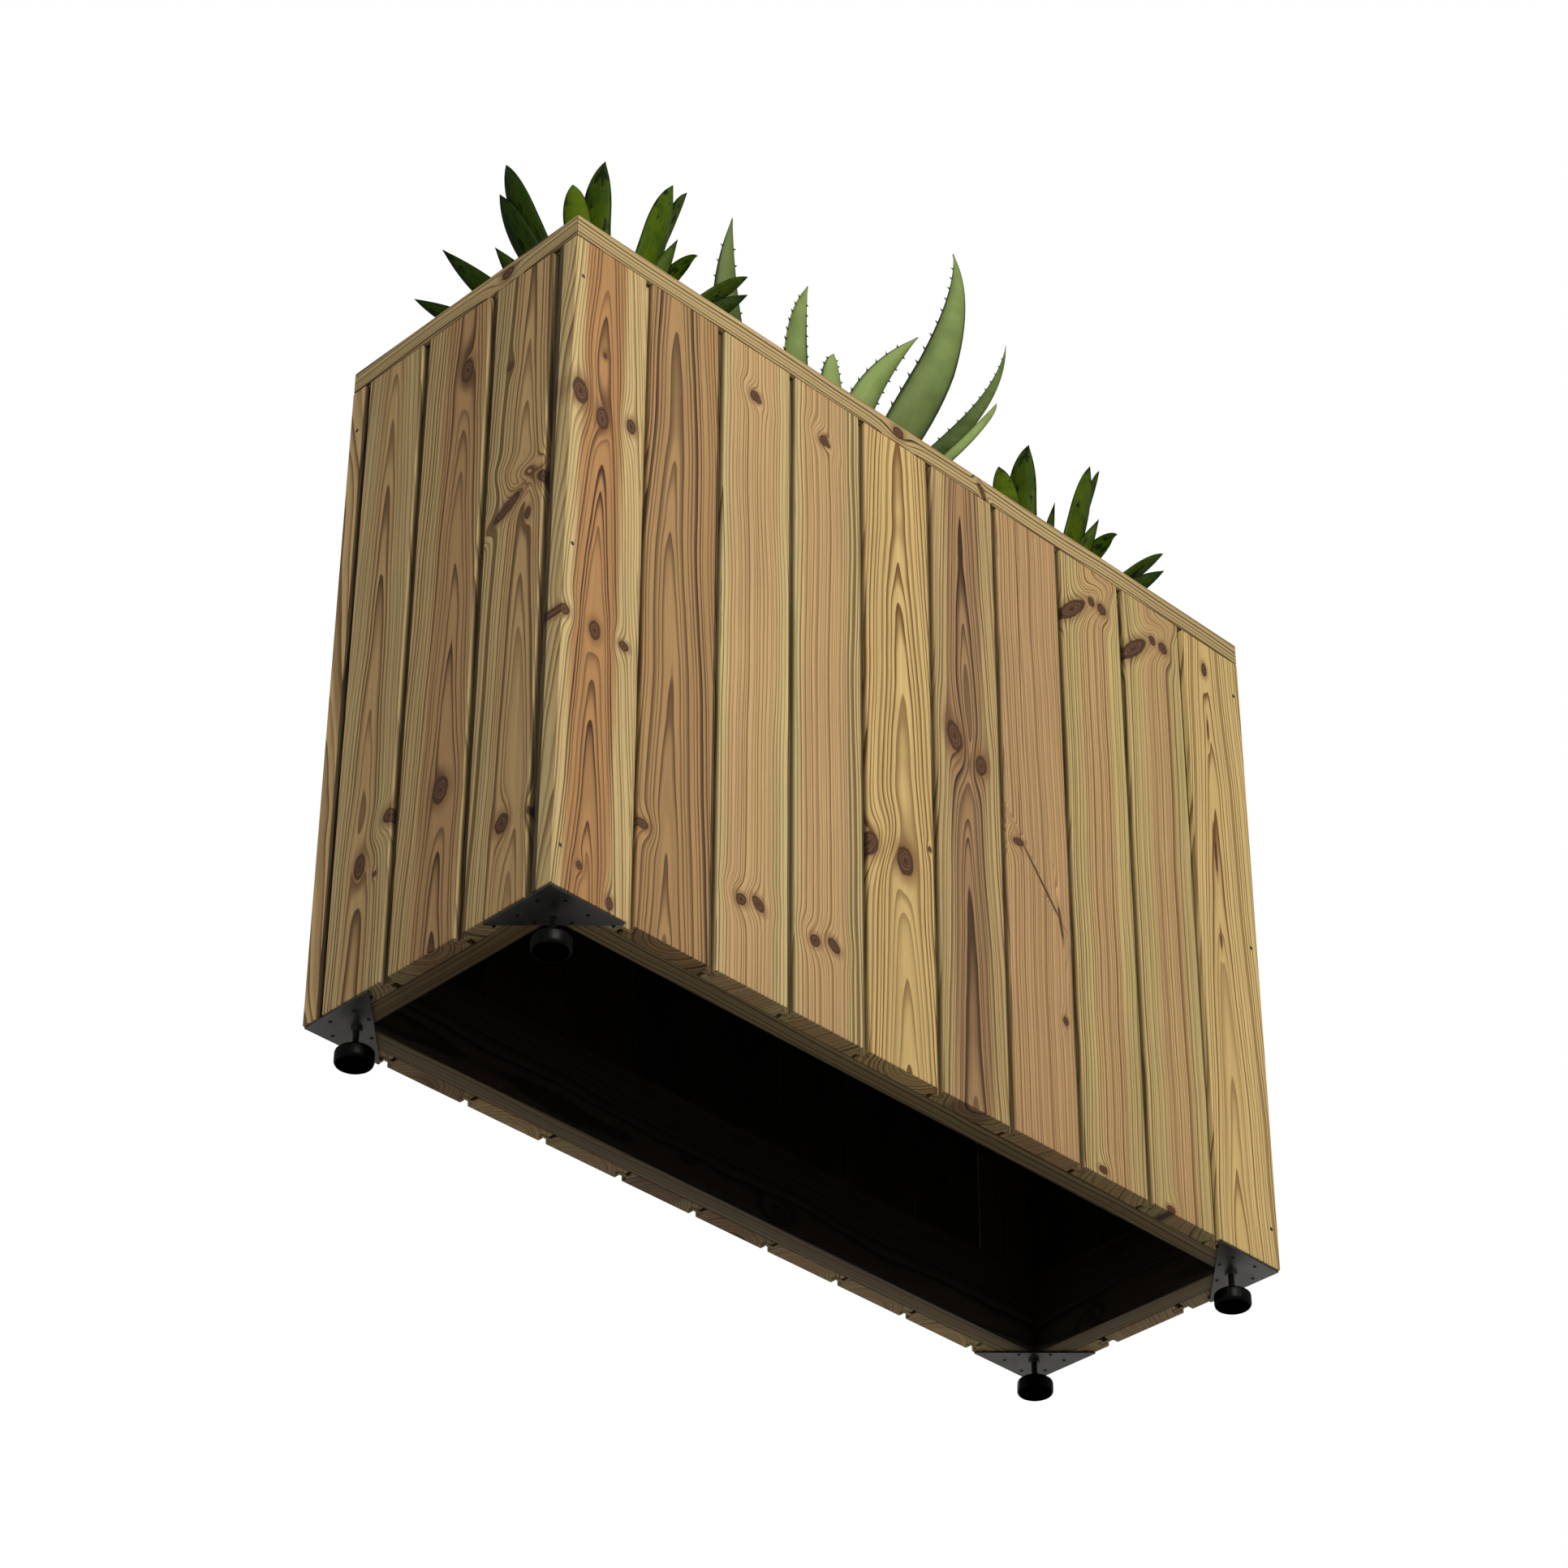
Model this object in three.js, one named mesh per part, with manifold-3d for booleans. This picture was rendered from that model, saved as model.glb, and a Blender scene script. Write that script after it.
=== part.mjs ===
// Raised timber planter on four levelling feet, planted with two rosettes and an aloe.
// Millimetres, +Z up. The origin is the centre of the footprint on the ground, under the feet.
// +X runs along the long faces, +Y towards the back long face.
import * as THREE from "three";
import { mergeVertices } from "three/addons/utils/BufferGeometryUtils.js";
import Module from "manifold-3d";

const wasm = await Module();
wasm.setup();

// Box
const LENGTH = 1200;
const DEPTH = 410;
const FOOT_CLEARANCE = 50; // ground to the bottom of the boards
const WALL_HEIGHT = 922;
const RIM_SHADOW_GAP = 1; // between the boards' tops and the rim
const GAP = 0.3; // between pieces that touch on the real planter

// Channel boards: an open groove outside, a tongue behind it, a narrower gap at the back
const BOARD_THICKNESS = 24;
const CHANNEL_WIDTH = 11;
const CHANNEL_DEPTH = 8.5;
const TONGUE_THICKNESS = 6;
const TONGUE_BITE = 6.5; // how far a tongue reaches into the next board
const BACK_STEP = 3; // how far each board's back runs under the channel
const LONG_BOARD_COUNT = 10;
const BOARD_FACE = 109.6;
const CORNER_LIP = 6.5; // lip behind the front corner boards' outer ends

// Side boards, measured from the front face
const SIDE_CHANNEL = 14.3;
const SIDE_FIRST_FACE = 42.5;
const SIDE_CUT_FACE = 97.8; // the two cut boards beside the full middle one

// Inner frames, all of one section
const RAIL_THICKNESS = 28;
const RAIL_HEIGHT = 112;
const LEDGER_BOTTOM = 460; // above the ground

// Rim
const RIM_WIDTH = 70;
const RIM_THICKNESS = 31;

// Planting space
const FLOOR_THICKNESS = 15;
const LINER_THICKNESS = 2.5;
const LINER_TOP = 968;
const SOIL_EDGE_Z = 949;
const SOIL_CROWN = 6;
const DRAIN_RADIUS = 6;
const DRAIN_PITCH = 220;
const ROOT_RADIUS = 36;
const ROOT_DEPTH = 60;

// Levelling feet
const PLATE_LEG = 108;
const PLATE_THICKNESS = 2.5;
const PLATE_INSET = 1.5;
const PLATE_TIP = 3; // the clipped width of each pointed corner
const PLATE_SCREWS = [[32, 11], [68, 15], [102, 11], [66, 38]]; // from the plate's corner, and mirrored
const SCREW_HOLE_RADIUS = 2.4;
const STUD_INSET = 42.6; // stud axis from both outer faces
const STUD_RADIUS = 4;
const STUD_BOTTOM = 12;
const STUD_TOP = 80;
const BUSH_RADIUS = 7.5;
const BUSH_LENGTH = 4;
const PAD_RADIUS = 22.8;
const PAD_HEIGHT = 25.5;
const STUD_WELL_TOP = 97; // top of the drilled well over each stud
const STUD_WELL_RADIUS = 5.5;

const WALL_BOTTOM = FOOT_CLEARANCE;
const WALL_TOP = WALL_BOTTOM + WALL_HEIGHT;
const RIM_BOTTOM = WALL_TOP + RIM_SHADOW_GAP;
const FRAME_INSET = BOARD_THICKNESS + RAIL_THICKNESS;
const PLATE_TOP = WALL_BOTTOM - GAP;
const LEDGER_TOP = LEDGER_BOTTOM + RAIL_HEIGHT;
const FLOOR_BOTTOM = LEDGER_TOP + GAP;
const LINER_BOTTOM = FLOOR_BOTTOM + FLOOR_THICKNESS + GAP;
const CROWN_Z = SOIL_EDGE_Z + SOIL_CROWN + 2;

const wood = (color) => new THREE.MeshStandardMaterial({ color, roughness: 0.7, metalness: 0 });
const FACE_WOOD = wood("#b99b6e");
const SIDE_WOOD = wood("#b0946a");
const RIM_WOOD = wood("#bda06e");
const FRAME_WOOD = wood("#a38a60");
const FLOOR_WOOD = wood("#9c8257");
const LINER_PLASTIC = new THREE.MeshStandardMaterial({ color: "#1b1c1d", roughness: 0.8, metalness: 0 });
const SOIL_EARTH = new THREE.MeshStandardMaterial({ color: "#3a2a1e", roughness: 1, metalness: 0 });
const DARK_LEAF = new THREE.MeshStandardMaterial({ color: "#2c4a12", roughness: 0.45, metalness: 0 });
const ALOE_LEAF = new THREE.MeshStandardMaterial({ color: "#5f9150", roughness: 0.5, metalness: 0 });
const PLATE_STEEL = new THREE.MeshStandardMaterial({ color: "#46484a", roughness: 0.35, metalness: 0.6 });
const STUD_STEEL = new THREE.MeshStandardMaterial({ color: "#3a3b3d", roughness: 0.35, metalness: 0.8 });
const PAD_PLASTIC = new THREE.MeshStandardMaterial({ color: "#101112", roughness: 0.5, metalness: 0 });

// ---- solids

function toManifold(geometry) {
  const bare = geometry.clone();
  bare.deleteAttribute("normal");
  bare.deleteAttribute("uv");
  const merged = mergeVertices(bare, 1e-4);
  const vertProperties = new Float32Array(merged.attributes.position.array);
  const triVerts = new Uint32Array(merged.index.array);
  return new wasm.Manifold(new wasm.Mesh({ numProp: 3, vertProperties, triVerts }));
}

function fromManifold(solid) {
  const { vertProperties, triVerts } = solid.getMesh();
  const geometry = new THREE.BufferGeometry();
  geometry.setAttribute("position", new THREE.BufferAttribute(new Float32Array(vertProperties), 3));
  geometry.setIndex(new THREE.BufferAttribute(new Uint32Array(triVerts), 1));
  geometry.computeVertexNormals();
  return geometry;
}

function block(minX, minY, minZ, maxX, maxY, maxZ) {
  const geometry = new THREE.BoxGeometry(maxX - minX, maxY - minY, maxZ - minZ);
  return geometry.translate((minX + maxX) / 2, (minY + maxY) / 2, (minZ + maxZ) / 2);
}

function rod(x, y, bottom, top, radius, sides) {
  const geometry = new THREE.CylinderGeometry(radius, radius, top - bottom, sides);
  return geometry.rotateX(Math.PI / 2).translate(x, y, (bottom + top) / 2);
}

function prism(points, bottom, top) {
  const shape = new THREE.Shape(points.map(([x, y]) => new THREE.Vector2(x, y)));
  const geometry = new THREE.ExtrudeGeometry(shape, { depth: top - bottom, bevelEnabled: false });
  return geometry.translate(0, 0, bottom);
}

const part = new THREE.Group();

function addMesh(name, geometry, material, parent = part) {
  const mesh = new THREE.Mesh(geometry, material);
  mesh.name = name;
  parent.add(mesh);
  return mesh;
}

// ---- boards

// Each edge is listed from the outer face inwards, as [distance beyond the face, depth].
const tongueDepth = CHANNEL_DEPTH + TONGUE_THICKNESS;
const tongueEdge = (channel) => [
  [0, 0],
  [0, CHANNEL_DEPTH],
  [channel + TONGUE_BITE, CHANNEL_DEPTH],
  [channel + TONGUE_BITE, tongueDepth],
  [BACK_STEP, tongueDepth],
  [BACK_STEP, BOARD_THICKNESS],
];
const grooveEdge = [
  [0, 0],
  [0, CHANNEL_DEPTH - GAP],
  [-TONGUE_BITE - 0.5, CHANNEL_DEPTH - GAP],
  [-TONGUE_BITE - 0.5, tongueDepth + GAP],
  [BACK_STEP, tongueDepth + GAP],
  [BACK_STEP, BOARD_THICKNESS],
];
const squareEdge = [
  [0, 0],
  [0, BOARD_THICKNESS],
];
const lipEdge = [
  [0, 0],
  [0, BOARD_THICKNESS + CORNER_LIP],
  [-CHANNEL_DEPTH + GAP, BOARD_THICKNESS + CORNER_LIP],
  [-CHANNEL_DEPTH + GAP, BOARD_THICKNESS],
];
const lapEdge = (reach) => [
  [0, 0],
  [0, CHANNEL_DEPTH],
  [reach, CHANNEL_DEPTH],
  [reach, BOARD_THICKNESS],
];

// A board standing on its end, its outer face at y = 0 and its thickness towards +y.
function boardGeometry(start, end, startEdge, endEdge) {
  const left = startEdge.map(([beyond, depth]) => [start - beyond, depth]);
  const right = endEdge.map(([beyond, depth]) => [end + beyond, depth]);
  return prism([...left.reverse(), ...right], WALL_BOTTOM, WALL_TOP);
}

const boardPitch = BOARD_FACE + CHANNEL_WIDTH;
const middleRun = (LONG_BOARD_COUNT - 2) * boardPitch + CHANNEL_WIDTH;
const cornerFace = (LENGTH - middleRun) / 2;

function addLongFace(name, cornerEdge) {
  const face = new THREE.Group();
  for (let i = 0; i < LONG_BOARD_COUNT; i += 1) {
    const first = i === 0;
    const last = i === LONG_BOARD_COUNT - 1;
    const start = first ? 0 : cornerFace + CHANNEL_WIDTH + (i - 1) * boardPitch;
    const end = first || last ? start + cornerFace : start + BOARD_FACE;
    const startEdge = first ? cornerEdge : grooveEdge;
    const endEdge = last ? cornerEdge : tongueEdge(CHANNEL_WIDTH);
    const geometry = boardGeometry(start, end, startEdge, endEdge).translate(-LENGTH / 2, 0, 0);
    addMesh(`${name}_board_${i + 1}`, geometry, FACE_WOOD, face);
  }
  part.add(face);
  return face;
}

// Side boards are laid out from the front corner to the back one, and mirrored for the other side.
function addSideFace(name, mirrored) {
  const front = SIDE_FIRST_FACE;
  const middle = front + SIDE_CUT_FACE + SIDE_CHANNEL;
  const back = middle + BOARD_FACE + SIDE_CHANNEL;
  const frontLap = front - BOARD_THICKNESS - GAP;
  const backLap = DEPTH - BOARD_THICKNESS - GAP - (back + SIDE_CUT_FACE);
  const boards = [
    [front, front + SIDE_CUT_FACE, lapEdge(frontLap), tongueEdge(SIDE_CHANNEL)],
    [middle, middle + BOARD_FACE, grooveEdge, tongueEdge(SIDE_CHANNEL)],
    [back, back + SIDE_CUT_FACE, grooveEdge, lapEdge(backLap)],
  ];
  const face = new THREE.Group();
  boards.forEach(([start, end, startEdge, endEdge], i) => {
    // seen from outside, the front corner is on the right of the left face
    const geometry = mirrored
      ? boardGeometry(start - DEPTH / 2, end - DEPTH / 2, startEdge, endEdge)
      : boardGeometry(DEPTH / 2 - end, DEPTH / 2 - start, endEdge, startEdge);
    addMesh(`${name}_side_board_${i + 1}`, geometry, SIDE_WOOD, face);
  });
  face.rotation.z = mirrored ? Math.PI / 2 : -Math.PI / 2;
  face.position.x = mirrored ? LENGTH / 2 : -LENGTH / 2;
  part.add(face);
}

const frontFace = addLongFace("front", lipEdge);
frontFace.position.y = -DEPTH / 2;
const backFace = addLongFace("back", squareEdge);
backFace.rotation.z = Math.PI;
backFace.position.y = DEPTH / 2;
addSideFace("left", false);
addSideFace("right", true);

// ---- inner frames: long rails run the full inner length, short rails stand between them

const railOuterX = LENGTH / 2 - BOARD_THICKNESS - GAP;
const railInnerX = LENGTH / 2 - FRAME_INSET;
const railOuterY = DEPTH / 2 - BOARD_THICKNESS - GAP;
const railInnerY = DEPTH / 2 - FRAME_INSET;
const studX = LENGTH / 2 - STUD_INSET;
const studY = DEPTH / 2 - STUD_INSET;

function longRail(side, bottom, withWells) {
  const minY = side < 0 ? -railOuterY : railInnerY;
  const maxY = side < 0 ? -railInnerY : railOuterY;
  const geometry = block(-railOuterX, minY, bottom, railOuterX, maxY, bottom + RAIL_HEIGHT);
  if (!withWells) return geometry;
  let solid = toManifold(geometry);
  for (const end of [-1, 1]) {
    const well = rod(end * studX, side * studY, bottom - 1, STUD_WELL_TOP, STUD_WELL_RADIUS, 16);
    solid = solid.subtract(toManifold(well));
  }
  return fromManifold(solid);
}

function shortRail(side, bottom) {
  const minX = side < 0 ? -railOuterX : railInnerX;
  const maxX = side < 0 ? -railInnerX : railOuterX;
  const reach = railInnerY - GAP;
  return block(minX, -reach, bottom, maxX, reach, bottom + RAIL_HEIGHT);
}

function addFrame(name, bottom, withWells) {
  addMesh(`${name}_rail_front`, longRail(-1, bottom, withWells), FRAME_WOOD);
  addMesh(`${name}_rail_back`, longRail(1, bottom, withWells), FRAME_WOOD);
  addMesh(`${name}_rail_left`, shortRail(-1, bottom), FRAME_WOOD);
  addMesh(`${name}_rail_right`, shortRail(1, bottom), FRAME_WOOD);
}

addFrame("bottom", WALL_BOTTOM, true);
addFrame("floor", LEDGER_BOTTOM, false);
addFrame("top", RIM_BOTTOM - GAP - RAIL_HEIGHT, false);

// ---- mitred rim

function rimPlank(halfLength, halfWidth, mitreGap) {
  const outer = halfLength - mitreGap;
  const inner = halfLength - RIM_WIDTH - mitreGap;
  const outline = [
    [-outer, -halfWidth],
    [outer, -halfWidth],
    [inner, RIM_WIDTH - halfWidth],
    [-inner, RIM_WIDTH - halfWidth],
  ];
  return prism(outline, RIM_BOTTOM, RIM_BOTTOM + RIM_THICKNESS);
}

addMesh("rim_front", rimPlank(LENGTH / 2, DEPTH / 2, 0), RIM_WOOD);
addMesh("rim_back", rimPlank(LENGTH / 2, DEPTH / 2, 0), RIM_WOOD).rotation.z = Math.PI;
addMesh("rim_left", rimPlank(DEPTH / 2, LENGTH / 2, 2 * GAP), RIM_WOOD).rotation.z = -Math.PI / 2;
addMesh("rim_right", rimPlank(DEPTH / 2, LENGTH / 2, 2 * GAP), RIM_WOOD).rotation.z = Math.PI / 2;

// ---- planting floor, liner and soil

const drains = [-2, -1, 0, 1, 2].map((i) => i * DRAIN_PITCH);

function drilled(geometry, bottom, top, sides) {
  const holes = drains.map((x) => toManifold(rod(x, 0, bottom - 1, top + 1, DRAIN_RADIUS, sides)));
  return holes.reduce((solid, hole) => solid.subtract(hole), toManifold(geometry));
}

const floorTop = FLOOR_BOTTOM + FLOOR_THICKNESS;
const floorPanel = block(-railOuterX, -railOuterY, FLOOR_BOTTOM, railOuterX, railOuterY, floorTop);
addMesh("planting_floor", fromManifold(drilled(floorPanel, FLOOR_BOTTOM, floorTop, 12)), FLOOR_WOOD);

const linerX = railInnerX - GAP;
const linerY = railInnerY - GAP;
const linerFloor = LINER_BOTTOM + LINER_THICKNESS;
const linerInnerX = linerX - LINER_THICKNESS;
const linerInnerY = linerY - LINER_THICKNESS;
const linerShell = drilled(
  block(-linerX, -linerY, LINER_BOTTOM, linerX, linerY, LINER_TOP),
  LINER_BOTTOM,
  linerFloor,
  12,
);
const linerHollow = block(-linerInnerX, -linerInnerY, linerFloor, linerInnerX, linerInnerY, LINER_TOP + 1);
addMesh("liner", fromManifold(linerShell.subtract(toManifold(linerHollow))), LINER_PLASTIC);

// Plants, by the place of each crown on the soil
const ROSETTE_LEFT = new THREE.Vector3(-420, -60, CROWN_Z);
const ROSETTE_RIGHT = new THREE.Vector3(362, -60, CROWN_Z);
const ALOE = new THREE.Vector3(40, -60, CROWN_Z);

const soilX = linerInnerX - GAP;
const soilY = linerInnerY - GAP;
const soilBottom = linerFloor + GAP;
const soilArch = [0.75, 0.5, 0.25, 0, -0.25, -0.5, -0.75].map((s) => [
  s * soilY,
  SOIL_EDGE_Z + SOIL_CROWN * (1 - s * s),
]);
const soilSection = [
  [-soilY, soilBottom],
  [soilY, soilBottom],
  [soilY, SOIL_EDGE_Z],
  ...soilArch,
  [-soilY, SOIL_EDGE_Z],
];
const soilBlock = prism(soilSection, -soilX, soilX);
soilBlock.applyMatrix4(
  new THREE.Matrix4().makeBasis(
    new THREE.Vector3(0, 1, 0),
    new THREE.Vector3(0, 0, 1),
    new THREE.Vector3(1, 0, 0),
  ),
);
const rootHoles = [ROSETTE_LEFT, ROSETTE_RIGHT, ALOE].map((crown) =>
  toManifold(rod(crown.x, crown.y, crown.z - ROOT_DEPTH - 2 * GAP, crown.z + 20, ROOT_RADIUS + 2 * GAP, 24)),
);
const plantedSoil = rootHoles.reduce((solid, hole) => solid.subtract(hole), toManifold(soilBlock));
addMesh("soil", fromManifold(plantedSoil), SOIL_EARTH);

// ---- plants

// Each leaf: its tip, the point its curve bends towards, its greatest width, and how far the blade
// turns about its own length, in degrees. Both points count from the crown.
const ROSETTE_LEAVES = [
  [[-178, 160, 107], [-130, 109, 55], 27, 45],
  [[-139, 160, 214], [-96, 99, 108], 32, 55],
  [[-136, 60, 155], [-93, 31, 76], 32, 42],
  [[-126, 60, 301], [-84, 52, 121], 44, 50],
  [[-66, 0, 267], [-58, 12, 118], 42, 36],
  [[-48, -40, 292], [-52, -14, 130], 44, 8],
  [[31, -80, 277], [-10, -60, 140], 44, -45],
  [[32, -90, 180], [7, -51, 81], 30, -40],
  [[57, -100, 162], [0, -75, 110], 30, -45],
  [[115, -130, 145], [62, -105, 92], 34, -46],
  [[50, 90, 235], [34, 62, 100], 42, 12],
  [[120, 40, 190], [88, 30, 78], 40, -10],
  [[100, 130, 130], [74, 96, 50], 38, 15],
  [[-10, 140, 180], [-8, 104, 72], 40, -12],
];
const ALOE_LEAVES = [
  [[-249, 0, 392], [-225, 60, 165], 60, 64],
  [[-110, 0, 361], [-150, 30, 200], 56, -66],
  [[-102, -40, 224], [-100, -26, 195], 46, 60],
  [[48, -50, 339], [-58, 24, 185], 58, -38],
  [[99, -70, 508], [70, -132, 305], 66, -78],
  [[189, -80, 393], [146, -100, 210], 32, 76],
  [[155, -90, 265], [108, -125, 185], 17, -70],
  [[-70, 110, 290], [-56, 92, 140], 54, 10],
  [[80, 115, 270], [62, 92, 130], 52, -12],
  [[-170, 80, 230], [-126, 62, 115], 48, 14],
];

// A blade extruded flat along x, then laid on its spine. It has turned fully half way along.
function leafGeometry([tip, bend, width, roll], thickness, widest) {
  const spine = new THREE.QuadraticBezierCurve3(
    new THREE.Vector3(0, 0, 0),
    new THREE.Vector3(...bend),
    new THREE.Vector3(...tip),
  );
  const level = new THREE.Vector3(-tip[1], tip[0], 0).normalize();
  const half = width / 2;
  const outline = new THREE.Shape();
  outline.moveTo(0, -0.6 * half);
  outline.quadraticCurveTo(0.5 * widest, -half, widest, -half);
  outline.quadraticCurveTo(0.5 * (1 + widest), -half, 1, 0);
  outline.quadraticCurveTo(0.5 * (1 + widest), half, widest, half);
  outline.quadraticCurveTo(0.5 * widest, half, 0, 0.6 * half);
  const geometry = new THREE.ExtrudeGeometry(outline, {
    depth: thickness,
    bevelEnabled: false,
    curveSegments: 3,
  });
  const positions = geometry.attributes.position;
  const flat = new THREE.Vector3();
  for (let i = 0; i < positions.count; i += 1) {
    flat.fromBufferAttribute(positions, i);
    const along = spine.getTangent(flat.x);
    const across = level.clone().addScaledVector(along, -level.dot(along)).normalize();
    across.applyAxisAngle(along, THREE.MathUtils.degToRad(roll) * Math.min(1, 2 * flat.x));
    const up = new THREE.Vector3().crossVectors(along, across);
    const placed = spine.getPoint(flat.x);
    placed.addScaledVector(across, flat.y).addScaledVector(up, flat.z - thickness / 2);
    positions.setXYZ(i, placed.x, placed.y, placed.z);
  }
  return geometry;
}

// The pockets that overlapping blades close off at the crown are filled.
function plantGeometry(leaves, thickness, widest) {
  const roots = toManifold(rod(0, 0, -ROOT_DEPTH, 8, ROOT_RADIUS, 24));
  const blades = leaves.map((leaf) => toManifold(leafGeometry(leaf, thickness, widest)));
  const plant = blades.reduce((solid, blade) => solid.add(blade), roots);
  return fromManifold(plant.decompose().find((piece) => piece.volume() > 0));
}

addMesh("rosette_left", plantGeometry(ROSETTE_LEAVES, 4, 0.6), DARK_LEAF).position.copy(ROSETTE_LEFT);
addMesh("rosette_right", plantGeometry(ROSETTE_LEAVES, 4, 0.6), DARK_LEAF).position.copy(ROSETTE_RIGHT);
addMesh("aloe", plantGeometry(ALOE_LEAVES, 11, 0.4), ALOE_LEAF).position.copy(ALOE);

// ---- corner plates, studs and foot pads

// The plate in its corner frame: the corner at the origin, the legs along +x and +y.
function plateGeometry() {
  const outline = [
    [0, 0],
    [PLATE_LEG, 0],
    [PLATE_LEG, PLATE_TIP],
    [PLATE_TIP, PLATE_LEG],
    [0, PLATE_LEG],
  ];
  const bottom = PLATE_TOP - PLATE_THICKNESS;
  const axis = STUD_INSET - PLATE_INSET;
  const bush = rod(axis, axis, bottom - BUSH_LENGTH, PLATE_TOP, BUSH_RADIUS, 6);
  const bore = rod(axis, axis, bottom - BUSH_LENGTH - 1, PLATE_TOP + 1, STUD_RADIUS + GAP, 24);
  let solid = toManifold(prism(outline, bottom, PLATE_TOP)).add(toManifold(bush)).subtract(toManifold(bore));
  for (const [along, inward] of PLATE_SCREWS) {
    for (const [x, y] of [[along, inward], [inward, along]]) {
      const hole = rod(x, y, bottom - 1, PLATE_TOP + 1, SCREW_HOLE_RADIUS, 10);
      solid = solid.subtract(toManifold(hole));
    }
  }
  return fromManifold(solid);
}

// Pad with a chamfered foot, a shoulder and a hub, and a blind socket for the stud.
function padGeometry() {
  const shoulder = 15;
  const hubRadius = 9;
  const socketRadius = STUD_RADIUS + GAP;
  const socketBottom = STUD_BOTTOM - GAP;
  const profile = [
    [0, 0],
    [20, 0],
    [PAD_RADIUS, 3.5],
    [PAD_RADIUS, shoulder],
    [17, 20],
    [hubRadius, 22.5],
    [hubRadius - 1, PAD_HEIGHT],
    [socketRadius, PAD_HEIGHT],
    [socketRadius, socketBottom],
    [0, socketBottom],
  ];
  const points = profile.map(([r, z]) => new THREE.Vector2(r, z));
  return new THREE.LatheGeometry(points, 24).rotateX(Math.PI / 2);
}

const CORNERS = [
  ["front_left", -1, -1, 0],
  ["front_right", 1, -1, Math.PI / 2],
  ["back_right", 1, 1, Math.PI],
  ["back_left", -1, 1, -Math.PI / 2],
];
for (const [name, sideX, sideY, turn] of CORNERS) {
  const plate = addMesh(`corner_plate_${name}`, plateGeometry(), PLATE_STEEL);
  plate.position.set(sideX * (LENGTH / 2 - PLATE_INSET), sideY * (DEPTH / 2 - PLATE_INSET), 0);
  plate.rotation.z = turn;
  const stud = rod(0, 0, STUD_BOTTOM, STUD_TOP, STUD_RADIUS, 24);
  addMesh(`foot_stud_${name}`, stud, STUD_STEEL).position.set(sideX * studX, sideY * studY, 0);
  addMesh(`foot_pad_${name}`, padGeometry(), PAD_PLASTIC).position.set(sideX * studX, sideY * studY, 0);
}

export default part;
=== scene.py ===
import math
import random

import bpy
from mathutils import Matrix, Vector, noise


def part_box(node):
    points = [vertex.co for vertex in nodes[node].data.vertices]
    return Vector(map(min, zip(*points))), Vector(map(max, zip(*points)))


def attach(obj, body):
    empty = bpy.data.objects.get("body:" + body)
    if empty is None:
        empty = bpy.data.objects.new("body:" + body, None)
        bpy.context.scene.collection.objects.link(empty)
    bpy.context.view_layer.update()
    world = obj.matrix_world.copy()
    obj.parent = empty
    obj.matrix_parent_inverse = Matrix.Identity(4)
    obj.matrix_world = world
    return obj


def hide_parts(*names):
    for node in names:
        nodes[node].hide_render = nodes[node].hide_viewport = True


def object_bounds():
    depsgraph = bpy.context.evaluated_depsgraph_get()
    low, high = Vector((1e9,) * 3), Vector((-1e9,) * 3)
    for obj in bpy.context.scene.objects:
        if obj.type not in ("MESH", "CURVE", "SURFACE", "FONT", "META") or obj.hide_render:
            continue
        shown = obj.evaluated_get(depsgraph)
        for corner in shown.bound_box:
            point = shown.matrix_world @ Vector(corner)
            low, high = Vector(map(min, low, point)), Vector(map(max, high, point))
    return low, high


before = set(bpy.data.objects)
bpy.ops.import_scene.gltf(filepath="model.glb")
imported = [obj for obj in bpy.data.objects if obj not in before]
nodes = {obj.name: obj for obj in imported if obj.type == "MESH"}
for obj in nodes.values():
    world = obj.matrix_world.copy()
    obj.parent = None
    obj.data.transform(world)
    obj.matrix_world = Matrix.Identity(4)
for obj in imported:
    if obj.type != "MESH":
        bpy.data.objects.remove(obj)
cad_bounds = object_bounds()

MM = 0.001
CORNERS = ["front_left", "front_right", "back_right", "back_left"]

# ---------------------------------------------------------------- camera, floor and light

EYE = Vector((-3.0545, -3.0460, -2.4704))
RIGHT = Vector((0.710278, -0.703912, 0.003542))
UP = Vector((-0.40835, -0.407935, 0.816602))
BACK = Vector((-0.573371, -0.581461, -0.57719))
LENS_MM = 98.0


def add_camera():
    data = bpy.data.cameras.new("camera")
    data.lens = LENS_MM
    data.sensor_width = 36.0
    data.clip_end = 100.0
    camera = bpy.data.objects.new("camera", data)
    bpy.context.collection.objects.link(camera)
    camera.matrix_world = Matrix.Translation(EYE) @ Matrix((RIGHT, UP, BACK)).transposed().to_4x4()
    bpy.context.scene.camera = camera


def add_softbox(name, place, target, size, watts, colour):
    data = bpy.data.lights.new(name, "AREA")
    data.size = size
    data.energy = watts
    data.color = colour
    lamp = bpy.data.objects.new(name, data)
    bpy.context.collection.objects.link(lamp)
    lamp.location = place
    lamp.rotation_euler = (Vector(target) - Vector(place)).to_track_quat("-Z", "Y").to_euler()


def add_world(backdrop, fill):
    """A white backdrop whose light on the object is a dimmer, even fill."""
    world = bpy.data.worlds.new("studio")
    bpy.context.scene.world = world
    world.use_nodes = True
    tree = world.node_tree
    background = tree.nodes["Background"]
    background.inputs["Color"].default_value = (1.0, 1.0, 1.0, 1.0)
    path = tree.nodes.new("ShaderNodeLightPath")
    level = tree.nodes.new("ShaderNodeMapRange")
    level.inputs["To Min"].default_value = fill
    level.inputs["To Max"].default_value = backdrop
    tree.links.new(path.outputs["Is Camera Ray"], level.inputs["Value"])
    tree.links.new(level.outputs["Result"], background.inputs["Strength"])


# ---------------------------------------------------------------- node trees written as arithmetic


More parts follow.
